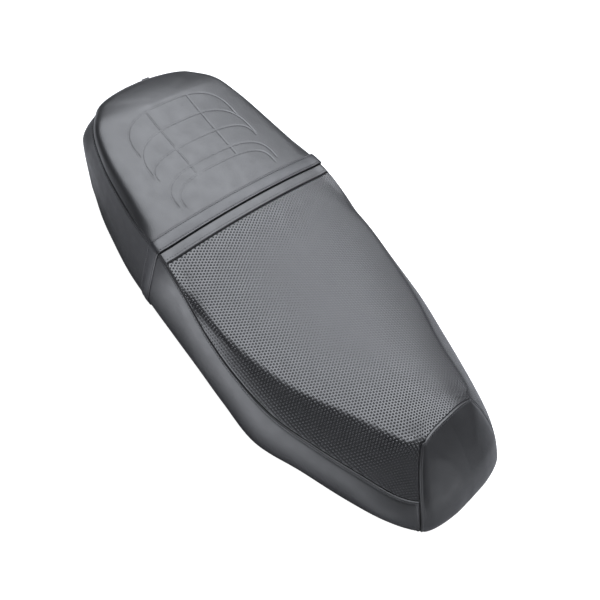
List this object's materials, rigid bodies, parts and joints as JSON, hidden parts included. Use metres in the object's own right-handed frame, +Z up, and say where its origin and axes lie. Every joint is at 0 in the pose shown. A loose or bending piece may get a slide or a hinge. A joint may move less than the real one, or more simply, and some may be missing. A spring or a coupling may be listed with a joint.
{
  "type": "motorcycle seat",
  "caption": "Dual scooter seat with a stitched vinyl cover, dimpled rider section, embossed passenger section, grab strap, base pan, front hinge and rear latch striker.",
  "frame": {"origin": "middle of the seat's outline, on the plane of the rubber feet it stands on", "axes": "+X forward to the nose, +Y to the rider's left, +Z up"},
  "size_m": [0.7098, 0.3276, 0.1688],
  "materials": {
    "pan_plastic": "moulded black polypropylene, fine texture",
    "foam": "moulded polyurethane foam",
    "vinyl_smooth": "smooth anthracite vinyl with a soft sheen",
    "vinyl_perforated": "dimpled anthracite vinyl with a staggered dot pattern",
    "vinyl_side": "smooth anthracite vinyl",
    "strap_vinyl": "stitched anthracite vinyl strap",
    "tab_tape": "black woven tape",
    "zinc_steel": "zinc plated",
    "bracket_steel": "black painted pressed steel",
    "pin_steel": "bright plated steel",
    "bush_nylon": "natural nylon",
    "insert_brass": "machined",
    "foot_rubber": "moulded black rubber"
  },
  "bodies": {
    "seat": {"base_pan": "pan_plastic", "foam_cushion": "foam", "passenger_top_panel": "vinyl_smooth", "step_strip_panel": "vinyl_smooth", "rider_top_panel": "vinyl_perforated", "nose_panel": "vinyl_smooth", "side_panel_left": "vinyl_side", "side_panel_right": "vinyl_side", "hem_staples": "zinc_steel", "rear_seam_tab": "tab_tape", "grab_strap": "strap_vinyl", "strap_clamp_left": "zinc_steel", "strap_clamp_right": "zinc_steel", "strap_screws": "zinc_steel", "hinge_seat_bracket": "bracket_steel", "hinge_bracket_screws": "zinc_steel", "hinge_pin": "pin_steel", "hinge_pin_clip": "pin_steel", "striker_plate": "bracket_steel", "striker_loop": "pin_steel", "striker_screws": "zinc_steel", "threaded_inserts": "insert_brass", "foot_rear_left": "foot_rubber", "foot_rear_right": "foot_rubber", "foot_middle_left": "foot_rubber", "foot_middle_right": "foot_rubber", "foot_front_left": "foot_rubber", "foot_front_right": "foot_rubber"},
    "frame_leaf": {"hinge_frame_leaf": "bracket_steel", "hinge_bush_left": "bush_nylon", "hinge_bush_right": "bush_nylon"}
  },
  "joints": [
    {"name": "seat_hinge", "type": "hinge", "parent": "seat", "child": "frame_leaf", "pos_m": [0.3025, 0, 0.016], "axis": [0, -1, 0], "range_deg": [0, 85]}
  ]
}
